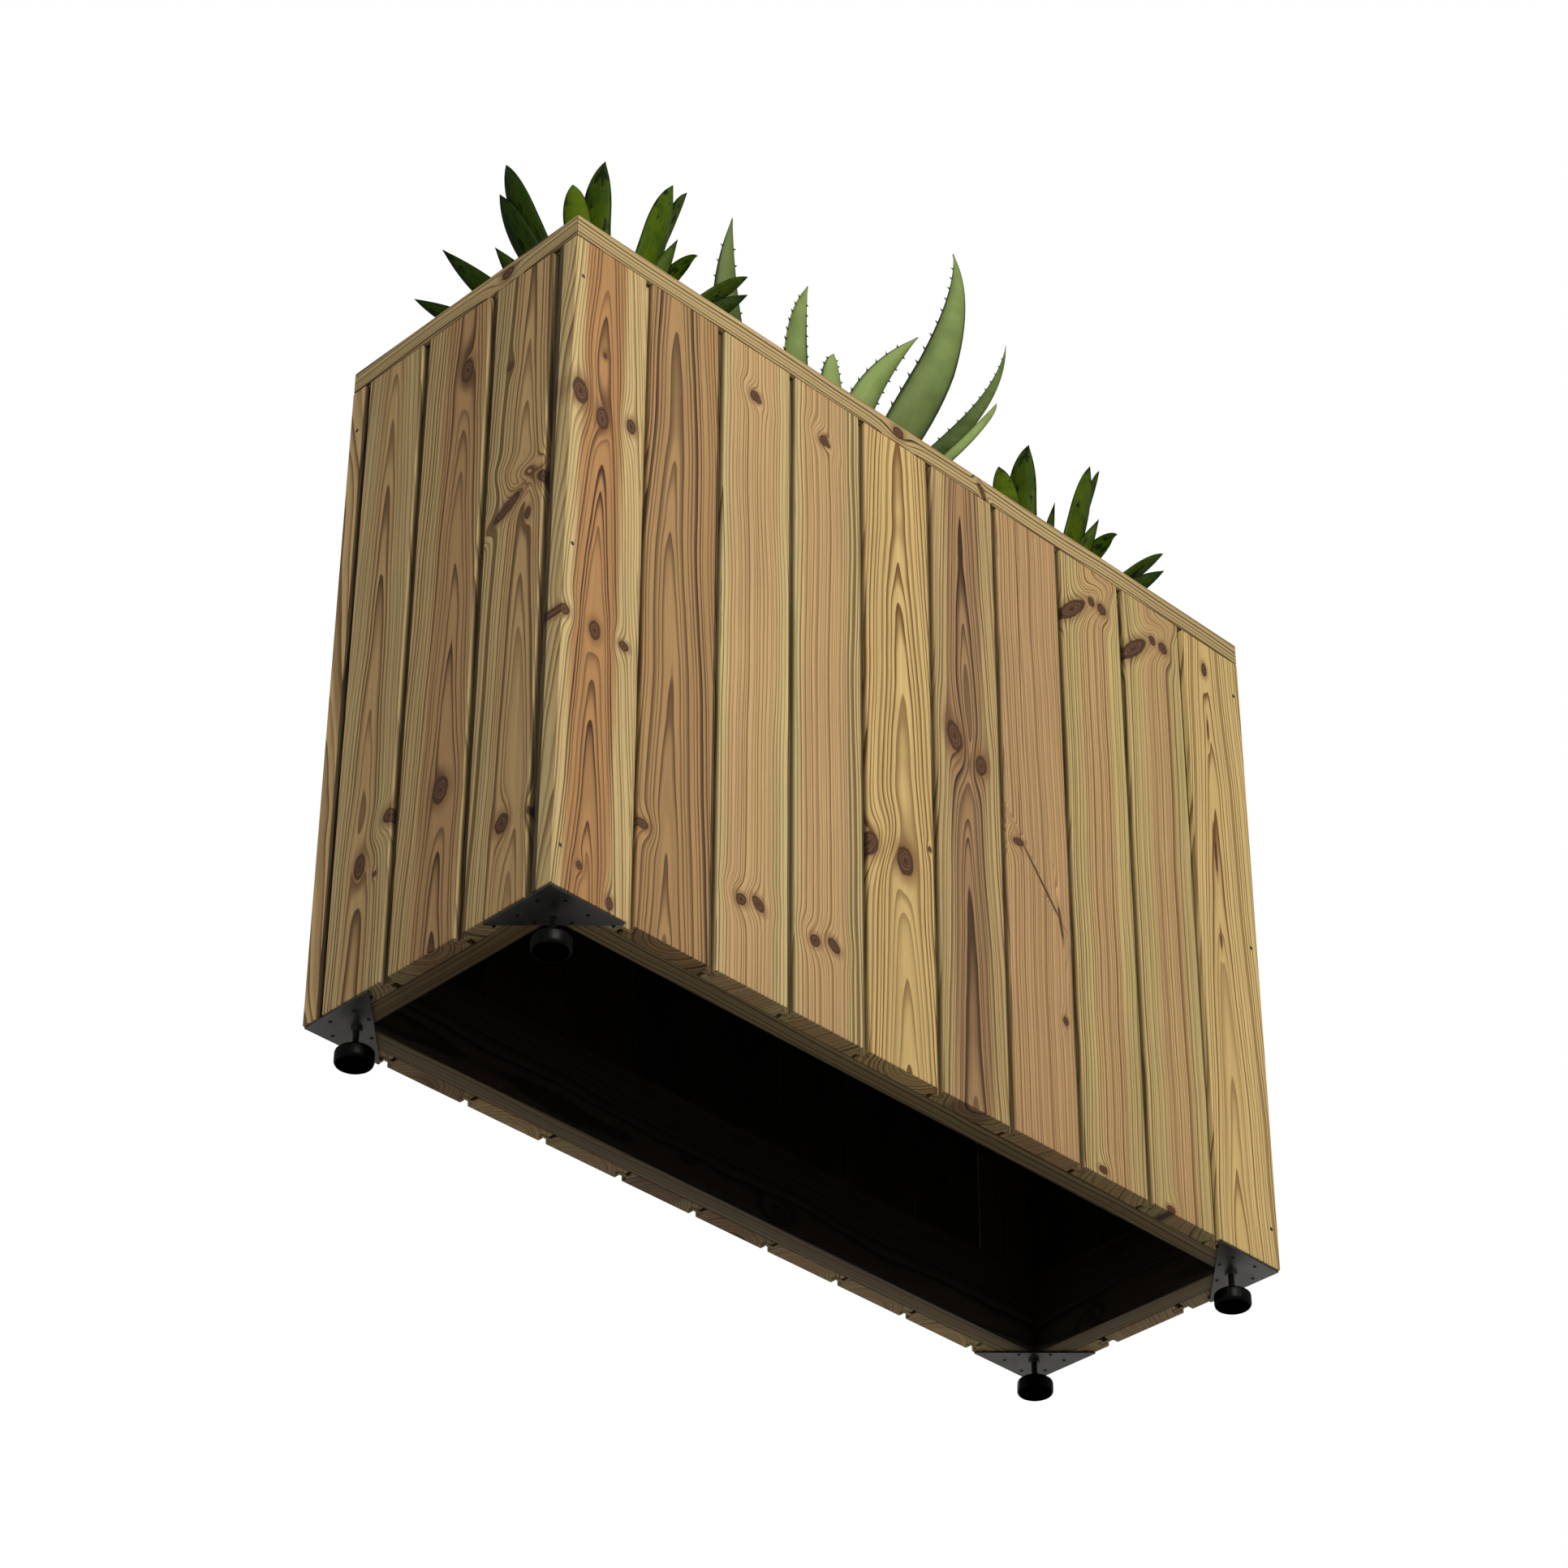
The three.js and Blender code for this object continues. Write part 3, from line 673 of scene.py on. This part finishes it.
def add_pad(corner, black):
    """A moulded foot: grooved sole, slightly fluted wall, domed shoulder, and a socket for the stud."""
    low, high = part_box("foot_pad_" + corner)
    centre = ((low.x + high.x) / 2, (low.y + high.y) / 2, 0.0)
    profile = [
        (0.5, 0.9), (5.0, 0.9), (5.4, 0.0), (9.4, 0.0), (9.8, 0.9), (12.4, 0.9), (12.8, 0.0),
        (16.4, 0.0), (16.8, 0.9), (18.6, 0.9), (19.0, 0.0), (20.2, 0.2), (21.4, 0.9), (22.4, 2.2),
        (22.8, 3.8), (22.8, 9.0), (22.8, 14.6), (22.5, 15.8), (21.6, 17.0), (20.0, 18.4), (17.4, 19.8),
        (14.0, 21.0), (11.0, 21.8), (9.4, 22.4), (8.8, 23.2), (8.6, 24.8), (8.0, 25.4), (6.0, 25.5),
        (4.9, 25.4), (4.35, 24.8), (4.3, 12.2), (0.5, 12.2)]

    def flutes(angle, size, height):
        if size < 19.0 * MM or height < 2.0 * MM:
            return 1.0
        return 1.0 - 0.012 * max(0.0, math.cos(12 * angle)) ** 4

    shape = Shape()
    shape.lathe(centre, [(r * MM, z * MM) for r, z in profile], 96, flutes)
    piece = make_piece("pad_" + corner, shape.points, shape.faces, [black], "pad_" + corner,
                       ["foot_pad_" + corner])
    sharpen(piece, 50)


# Screw places on a plate, in mm from its right-angled corner along one edge and in from it.
PLATE_SCREWS = [(32, 11), (68, 15), (102, 11), (66, 38)]


def head_loops(shape, centre, axes, profile, lobes):
    """A screw or nail head round an arbitrary axis: axes are two across it and then the one out of it."""
    count = 24
    loops = []
    for radius, height, star in profile:
        loop = []
        for i in range(count):
            angle = 2 * math.pi * i / count
            size = radius * (1.0 + star * math.cos(lobes * angle))
            loop.append(centre + axes[0] * (size * math.cos(angle)) + axes[1] * (size * math.sin(angle))
                        + axes[2] * height)
        loops.append(loop)
    shape.rings(loops)


def add_plate_screws(metal):
    """Cross-recessed heads, one in each hole of a plate."""
    head = [(0.2, -0.3, 0.0), (2.1, -0.3, 0.0), (2.15, 0.9, 0.0), (1.9, 1.15, 0.0), (1.1, 1.2, 0.4),
            (0.9, 0.5, 0.5), (0.2, 0.35, 0.0)]
    head = [(radius * MM, height * MM, star) for radius, height, star in head]
    for corner in CORNERS:
        low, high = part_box("corner_plate_" + corner)
        shape = Shape()
        sign_x = 1 if corner.endswith("left") else -1
        sign_y = 1 if corner.startswith("front") else -1
        start = Vector((low.x if sign_x > 0 else high.x, low.y if sign_y > 0 else high.y, high.z))
        for first, second in PLATE_SCREWS + [(b, a) for a, b in PLATE_SCREWS]:
            centre = start + Vector((sign_x * first * MM, sign_y * second * MM, -1.9 * MM))
            head_loops(shape, centre, (Vector((1, 0, 0)), Vector((0, -1, 0)), Vector((0, 0, -1))), head, 4)
        piece = make_piece("plate_screws_" + corner, shape.points, shape.faces, [metal])
        sharpen(piece)


def add_nails(metal):
    """Nail heads that hold the corner boards to the three frames."""
    head = [(0.2, -1.5, 0.0), (2.7, -1.5, 0.0), (2.75, 0.0, 0.0), (2.2, 0.3, 0.0), (0.2, 0.4, 0.0)]
    head = [(radius * MM, height * MM, star) for radius, height, star in head]
    shape = Shape()
    side_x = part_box("front_board_1")[0].x
    heights = [sum(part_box(name)[i].z for i in (0, 1)) / 2 - 3 * MM
               for name in ("bottom_rail_front", "floor_rail_front", "top_rail_front")]
    low, high = cad_bounds
    for sign in (-1, 1):
        for x in (low.x + 12 * MM, high.x - 12 * MM):
            for z in heights:
                y = low.y if sign < 0 else high.y
                axes = (Vector((1, 0, 0)), Vector((0, 0, -sign)), Vector((0, sign, 0)))
                head_loops(shape, Vector((x, y, z)), axes, head, 1)
        x = side_x if sign < 0 else -side_x
        axes = (Vector((0, 1, 0)), Vector((0, 0, sign)), Vector((sign, 0, 0)))
        head_loops(shape, Vector((x, high.y - 13 * MM, heights[2] - 8 * MM)), axes, head, 1)
    make_piece("nails", shape.points, shape.faces, [metal])


def soil_height(x, y):
    place = Vector((x, y, 0.0))
    lumps = noise.fractal(place * 22.0, 0.9, 2.1, 5)
    crumbs = noise.noise(place * 240.0)
    return lumps * 4.5 * MM + crumbs * 1.3 * MM


def add_soil(material):
    low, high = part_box("soil")
    across, along = 70, 240
    crown = high.z - 4 * MM
    shape = Shape()
    top = []
    for j in range(across + 1):
        row = []
        for i in range(along + 1):
            x = low.x + (high.x - low.x) * i / along
            y = low.y + (high.y - low.y) * j / across
            edge = min(i, along - i, 2 * j, 2 * (across - j)) / 20.0
            rise = min(1.0, edge) * 5 * MM
            fade = min(1.0, edge * 4.0)
            row.append(len(shape.points))
            shape.points.append(Vector((x, y, crown - 5 * MM + rise + soil_height(x, y) * fade)))
        top.append(row)
    bottom = []
    for row in (top[0], top[-1]):
        bottom.append([])
        for index in (row[0], row[-1]):
            bottom[-1].append(len(shape.points))
            point = shape.points[index]
            shape.points.append(Vector((point.x, point.y, low.z)))
    for j in range(across):
        for i in range(along):
            shape.faces.append((top[j][i], top[j][i + 1], top[j + 1][i + 1], top[j + 1][i]))
    shape.faces.append(tuple(reversed(top[0])) + (bottom[0][0], bottom[0][1]))
    shape.faces.append(tuple(top[-1]) + (bottom[1][1], bottom[1][0]))
    shape.faces.append(tuple(row[0] for row in top) + (bottom[1][0], bottom[0][0]))
    shape.faces.append(tuple(row[-1] for row in reversed(top)) + (bottom[0][1], bottom[1][1]))
    shape.faces.append((bottom[0][0], bottom[1][0], bottom[1][1], bottom[0][1]))
    make_piece("soil_bed", shape.points, shape.faces, [material], stands_for=["soil"])
    add_crumbs(material, low, high, crown)


def add_crumbs(material, low, high, crown):
    rng = random.Random(5)
    shape = Shape()
    for _ in range(420):
        size = rng.uniform(2.0, 6.5) * MM
        x = rng.uniform(low.x + 12 * MM, high.x - 12 * MM)
        y = rng.uniform(low.y + 12 * MM, high.y - 12 * MM)
        angle = rng.uniform(0, math.pi)
        turn = Matrix.Rotation(angle, 3, Vector((rng.random(), rng.random(), rng.random())))
        stretch = Vector((rng.uniform(0.8, 1.9), rng.uniform(0.7, 1.2), rng.uniform(0.5, 0.9)))
        centre = Vector((x, y, crown + soil_height(x, y) + 0.1 * size))
        loops = []
        for ring in range(5):
            lift = math.pi * (ring + 0.3) / 4.6
            loop = []
            for i in range(8):
                angle = 2 * math.pi * i / 8
                flat = math.sin(lift)
                point = Vector((flat * math.cos(angle), flat * math.sin(angle), -math.cos(lift)))
                bump = 1.0 + 0.35 * noise.noise(point * 1.7 + centre * 900.0)
                point = Vector(a * b for a, b in zip(point * (size * bump), stretch))
                loop.append(centre + turn @ point)
            loops.append(loop)
        shape.rings(loops)
    make_piece("soil_crumbs", shape.points, shape.faces, [material])


# ---------------------------------------------------------------- plants


def leaf_fields(graph):
    attribute = graph.node("Attribute", attribute_name="leaf", attribute_type="GEOMETRY")
    return graph.split(Field(graph, attribute.outputs["Vector"]))


def dark_leaf(name):
    """Olive to deep green, almost black at the tips and in blotches."""
    graph = Graph(name)
    across, along, number = leaf_fields(graph)
    side = graph.math("ABSOLUTE", across)
    point = graph.coordinates("Object")
    mottle = graph.noise(point, 42.0, 4.0, 0.6)
    streak = graph.noise(graph.vector(across * 1.6, along * 4.0, number * 9.7), 1.6, 3.0)
    veins = graph.noise(graph.vector(across * 34.0, along * 1.2, number * 3.1), 1.0, 2.0)
    pale = graph.math("FRACT", number) + (streak - 0.5) * 0.7 + side * -0.12
    colour = graph.blend(rgb(20, 38, 2), rgb(84, 106, 6), pale)
    colour = graph.blend(colour, rgb(34, 60, 3), graph.ramp(mottle, 0.46, 0.66) * 0.65)
    blotch = graph.ramp(streak + (mottle - 0.5) * 0.8 + along * 0.16, 0.7, 0.78)
    colour = graph.blend(colour, rgb(10, 22, 3), blotch * 0.85)
    tip = graph.ramp(along + (mottle - 0.5) * 0.3, 0.88, 1.0)
    colour = graph.blend(colour, rgb(12, 20, 4), tip * 0.8)
    colour = graph.blend(colour, rgb(16, 30, 4), graph.ramp(side, 0.93, 0.99) * 0.6)
    colour = graph.shade(colour, (veins - 0.5) * 0.36 + 1.0)
    roughness = graph.ramp(mottle, 0.3, 0.7, 0.46, 0.6)
    return graph.finish(colour, roughness, veins + mottle * 0.4, 0.0003, Specular_IOR_Level=0.1)


def aloe_leaf(name):
    """Pale sea green with a bloom, greyer towards the margins, faintly spotted."""
    graph = Graph(name)
    across, along, number = leaf_fields(graph)
    side = graph.math("ABSOLUTE", across)
    point = graph.coordinates("Object")
    cloud = graph.noise(point, 26.0, 4.0)
    lines = graph.noise(graph.vector(across * 20.0, along * 3.0, number * 5.3), 1.0, 3.0)
    pale = graph.math("FRACT", number) + (along - 0.5) * 0.7 + (cloud - 0.5) * 0.5
    colour = graph.blend(rgb(56, 72, 26), rgb(138, 158, 92), pale)
    colour = graph.shade(colour, graph.ramp(side + (cloud - 0.5) * 0.5, 0.3, 1.1, 1.0, 0.8))
    spots = graph.ramp(graph.cells(point, 95.0), 0.2, 0.12) * graph.ramp(cloud, 0.45, 0.65)
    colour = graph.blend(colour, rgb(168, 184, 132), spots * 0.16)
    colour = graph.blend(colour, rgb(96, 84, 52), graph.ramp(along, 0.975, 1.0) * 0.8)
    colour = graph.blend(colour, rgb(70, 74, 36), graph.ramp(side, 0.95, 1.0) * 0.7)
    colour = graph.shade(colour, (lines - 0.5) * 0.24 + (cloud - 0.5) * 0.3 + 1.0)
    return graph.finish(
        colour, graph.ramp(cloud, 0.3, 0.7, 0.46, 0.62), lines, 0.0003, Specular_IOR_Level=0.22)


def thorn(name):
    graph = Graph(name)
    point = graph.coordinates("Object")
    tone = graph.noise(point, 300.0, 2.0)
    colour = graph.blend(rgb(58, 42, 24), rgb(26, 20, 12), graph.ramp(tone, 0.35, 0.65))
    return graph.finish(colour, graph.ramp(tone, 0.3, 0.7, 0.4, 0.6), tone, 0.0002)


def lance(t):
    """A dark leaf's width along its length: narrow foot, widest well past the middle, short point."""
    foot = 0.6 + 0.4 * math.sin(math.pi / 2 * min(1.0, t / 0.6))
    return max(0.02, foot * (1 - max(0.0, (t - 0.6) / 0.4) ** 1.8))


def sword(taper):
    """An aloe leaf's width along its length: a long even taper, or a fuller one for a larger number."""
    return lambda t: max(0.02, 1 - t ** taper)


class Leaf:
    """A curved blade with a channelled upper side. root, tip and bend, in mm from the crown, start,
    end and draw its curve, and roll is how far the blade turns about its length, fully from half
    way."""

    def __init__(self, crown, tip, bend, width, roll, outline, thickness, channel, root=(0, 0)):
        self.root = Vector(crown) + Vector((*root, 0)) * MM
        self.tip = Vector(crown) + Vector(tip) * MM
        self.bend = Vector(crown) + Vector(bend) * MM
        self.level = Vector((-tip[1], tip[0], 0.0)).normalized()
        self.roll = math.radians(roll)
        self.width = width * MM
        self.outline = outline
        self.thickness = thickness * MM
        self.channel = channel

    def spine(self, t):
        return self.root * (1 - t) ** 2 + self.bend * (2 * t * (1 - t)) + self.tip * t ** 2

    def frame(self, t):
        tangent = ((self.bend - self.root) * (1 - t) + (self.tip - self.bend) * t).normalized()
        side = (self.level - tangent * tangent.dot(self.level)).normalized()
        side = Matrix.Rotation(self.roll * min(1.0, 2.0 * t), 3, tangent) @ side
        return tangent, side, tangent.cross(side)

    def at(self, t, u, lower=False):
        """A point on the upper or lower skin, u from -1 to 1 across."""
        _, side, up = self.frame(t)
        outline = self.outline(t)
        half = self.width / 2 * outline
        fold = self.channel * half * (u * u)
        lens = math.sqrt(max(0.0, 1 - u * u))
        thick = self.thickness * (1 - 0.8 * t) * min(1.0, 2.5 * outline) * lens
        sink = -thick if lower else thick * 0.1
        return self.spine(t) + side * (half * u) + up * (fold + sink)

    def add_to(self, shape, number, steps=30, across=10):
        loops, places = [], []
        for row in range(steps + 1):
            t = row / steps
            upper = [(-1 + 2 * i / across) for i in range(across + 1)]
            lower = list(reversed(upper[1:-1]))
            loop = [self.at(t, u) for u in upper] + [self.at(t, u, True) for u in lower]
            loops.append(loop)
            places += [(u, t, number) for u in upper + lower]
        shape.rings(loops, 0, places)


def add_teeth(shape, leaf, sides, spacing, length):
    """Short hooked teeth along the chosen margins."""
    total = sum((leaf.spine((i + 1) / 20) - leaf.spine(i / 20)).length for i in range(20))
    count = int(total / (spacing * MM))
    for side in sides:
        for n in range(1, count):
            t = 0.12 + 0.84 * n / count
            tangent, across, up = leaf.frame(t)
            foot = leaf.at(t, side * 0.97)
            size = length * MM * (1.0 - 0.45 * t)
            out = across * side
            loops = []
            for row in range(5):
                s = row / 4
                centre = foot + out * (size * s - 0.8 * MM) + tangent * (size * 0.55 * s * s)
                radius = size * 0.36 * (1 - s) + 0.1 * MM
                loops.append([
                    centre + tangent * (radius * 1.3 * math.cos(a)) + up * (radius * 0.7 * math.sin(a))
                    for a in (math.pi / 3 * i for i in range(6))])
            shape.rings(loops, 1, [(side, t, 0.0)] * 30)


# Each leaf: tip, bend, greatest width and roll, as a Leaf takes them, and how pale it is.
ROSETTE_LEAVES = [
    ((-178, 160, 107), (-130, 109, 55), 27, 45, 0.12),
    ((-139, 160, 214), (-96, 99, 108), 32, 50, 0.22),
    ((-136, 60, 155), (-93, 31, 76), 32, 42, 0.25),
    ((-126, 60, 301), (-152, 24, 200), 40, 22, 0.2),
    ((-132, 62, 248), (-132, 34, 160), 38, 22, 0.15),
    ((-66, 0, 267), (-105, -40, 190), 36, 26, 0.88),
    ((-48, -40, 292), (-57, -10, 245), 43, -22, 0.5),
    ((31, -80, 277), (-7, -108, 150), 54, -2, 0.66),
    ((74, -60, 306), (22, -84, 200), 38, -14, 0.45),
    ((32, -90, 180), (7, -51, 81), 30, -40, 0.5),
    ((57, -100, 162), (55, -66, 171), 38, 74, 0.42),
    ((115, -130, 145), (77, -115, 95), 38, 0, 0.5),
    ((117, -128, 118), (70, -103, 72), 26, -45, 0.2),
    ((50, 90, 235), (34, 62, 120), 42, 12, 0.6),
    ((120, 40, 190), (88, 30, 90), 40, -10, 0.4),
    ((100, 130, 130), (74, 96, 60), 38, 15, 0.3),
    ((-10, 140, 180), (-8, 104, 86), 40, -12, 0.55),
]
THIN_LEAF = ((1, -40, 220), (-13, -19, 103), 20, -40, 0.3)
# Then its taper, the margins that carry teeth, the teeth's spacing and length, and the leaf's root.
ALOE_LEAVES = [
    ((-249, 0, 392), (-231, 64, 150), 70, 80, 0.12, 3.4, (-1, 1), 26, 7.5, (-28, 46)),
    ((-110, 0, 361), (-158, 24, 198), 68, -80, 0.6, 3.4, (-1, 1), 21, 7.5, (-33, 42)),
    ((-102, -40, 224), (-101, -28, 202), 50, 64, 0.85, 3.4, (-1, 1), 20, 7, (-14, 19)),
    ((48, -50, 339), (-60, 22, 183), 61, -38, 0.85, 3.3, (-1, 1), 24, 7.5, (-6, 11)),
    ((99, -70, 508), (75, -142, 305), 82, -80, 0.52, 1.45, (-1,), 34, 8, (-18, 50)),
    ((189, -80, 393), (148, -100, 212), 36, 78, 0.1, 1.4, (1,), 27, 6, (-50, 4)),
    ((155, -90, 265), (108, -133, 187), 15, -80, 0.8, 3.2, (-1, 1), 20, 2, (-8, 0)),
    ((-70, 110, 290), (-56, 92, 140), 56, 10, 0.6, 1.6, (-1, 1), 24, 6, (0, 10)),
    ((80, 115, 270), (62, 92, 130), 54, -12, 0.5, 1.6, (-1, 1), 24, 6, (8, 10)),
    ((-170, 80, 230), (-126, 62, 115), 50, 14, 0.4, 1.6, (-1, 1), 22, 5, (0, 8)),
]
CROWN_Z = 0.957


def add_plants():
    dark, green, brown = dark_leaf("dark_leaf"), aloe_leaf("aloe_leaf"), thorn("aloe_thorn")
    for name, x, extra in (("rosette_left", -0.420, []), ("rosette_right", 0.362, [THIN_LEAF])):
        shape = Shape()
        for number, (tip, bend, width, roll, pale) in enumerate(ROSETTE_LEAVES + extra):
            leaf = Leaf((x, -0.060, CROWN_Z), tip, bend, width, roll, lance, 3.0, 0.22)
            leaf.add_to(shape, number + pale)
        make_piece(name + "_leaves", shape.points, shape.faces, [dark],
                   stands_for=[name], leaf=shape.leaf)
    shape = Shape()
    for number, blade in enumerate(ALOE_LEAVES):
        tip, bend, width, roll, pale, taper, margins, spacing, tooth, root = blade
        thickness = min(8.0, 0.16 * width)
        crown = (0.040, -0.060, CROWN_Z)
        leaf = Leaf(crown, tip, bend, width, roll, sword(taper), thickness, 0.25, root)
        leaf.add_to(shape, number + pale)
        add_teeth(shape, leaf, margins, spacing, tooth)
    make_piece("aloe_leaves", shape.points, shape.faces, [green, brown],
               stands_for=["aloe"], kinds=shape.kinds, leaf=shape.leaf)


# ---------------------------------------------------------------- floor


def add_floor():
    """A pale floor under the feet that fades into the backdrop, and is clear from below."""
    graph = Graph("floor")
    point = graph.coordinates("Object")
    cloud = graph.noise(point, 1.5, 3.0)
    colour = graph.blend(rgb(226, 226, 224), rgb(232, 232, 230), cloud)
    material = graph.finish(colour, graph.ramp(cloud, 0.3, 0.7, 0.7, 0.8))
    surface = next(n for n in graph.tree.nodes if n.type == "BSDF_PRINCIPLED")
    output = next(n for n in graph.tree.nodes if n.type == "OUTPUT_MATERIAL")
    distance = graph.node("VectorMath", operation="LENGTH")
    graph.feed(distance.inputs[0], point)
    seen = Field(graph, graph.node("LightPath").outputs["Is Camera Ray"])
    fade = graph.node("MixShader")
    graph.feed(fade.inputs[0], graph.ramp(Field(graph, distance.outputs["Value"]), 1.4, 5.0) * seen)
    graph.tree.links.new(surface.outputs[0], fade.inputs[1])
    graph.tree.links.new(graph.node("Emission").outputs[0], fade.inputs[2])
    clear = graph.node("BsdfTransparent")
    side = graph.node("NewGeometry")
    mix = graph.node("MixShader")
    graph.tree.links.new(side.outputs["Backfacing"], mix.inputs[0])
    graph.tree.links.new(fade.outputs[0], mix.inputs[1])
    graph.tree.links.new(clear.outputs[0], mix.inputs[2])
    graph.tree.links.new(mix.outputs[0], output.inputs[0])
    mesh = bpy.data.meshes.new("floor")
    reach = 20.0
    corners = [(-reach, -reach, 0), (reach, -reach, 0), (reach, reach, 0), (-reach, reach, 0)]
    mesh.from_pydata(corners, [], [(0, 1, 2, 3)])
    mesh.materials.append(material)
    floor = bpy.data.objects.new("floor", mesh)
    bpy.context.collection.objects.link(floor)


# ---------------------------------------------------------------- the scene

# Each light: name, place, target, size in metres, watts and colour.
SOFTBOXES = [
    ("key", (-1.95, -3.95, 2.3), (0.0, 0.0, 0.5), 2.0, 168.0, (1.0, 0.975, 0.9)),
    ("back", (2.8, 3.4, 3.0), (0.0, 0.0, 0.3), 2.4, 165.0, (1.0, 1.0, 1.0)),
]

add_camera()
add_world(backdrop=1.0, fill=0.2)
for softbox in SOFTBOXES:
    add_softbox(*softbox)
add_floor()
dress_boards()
dress_rims_and_rails()
dress_metal()
paint(nodes["liner"], liner_film("liner_film"))
black_zinc = zinc("black_zinc")
pad_rubber = rubber("pad_rubber")
for corner in CORNERS:
    add_stud(corner, black_zinc)
    add_pad(corner, pad_rubber)
add_plate_screws(black_zinc)
add_nails(powder_coat("nail_heads", rgb(15, 11, 8), 0.5))
add_soil(earth("potting_soil"))
add_plants()

bpy.context.scene.view_settings.view_transform = "Standard"
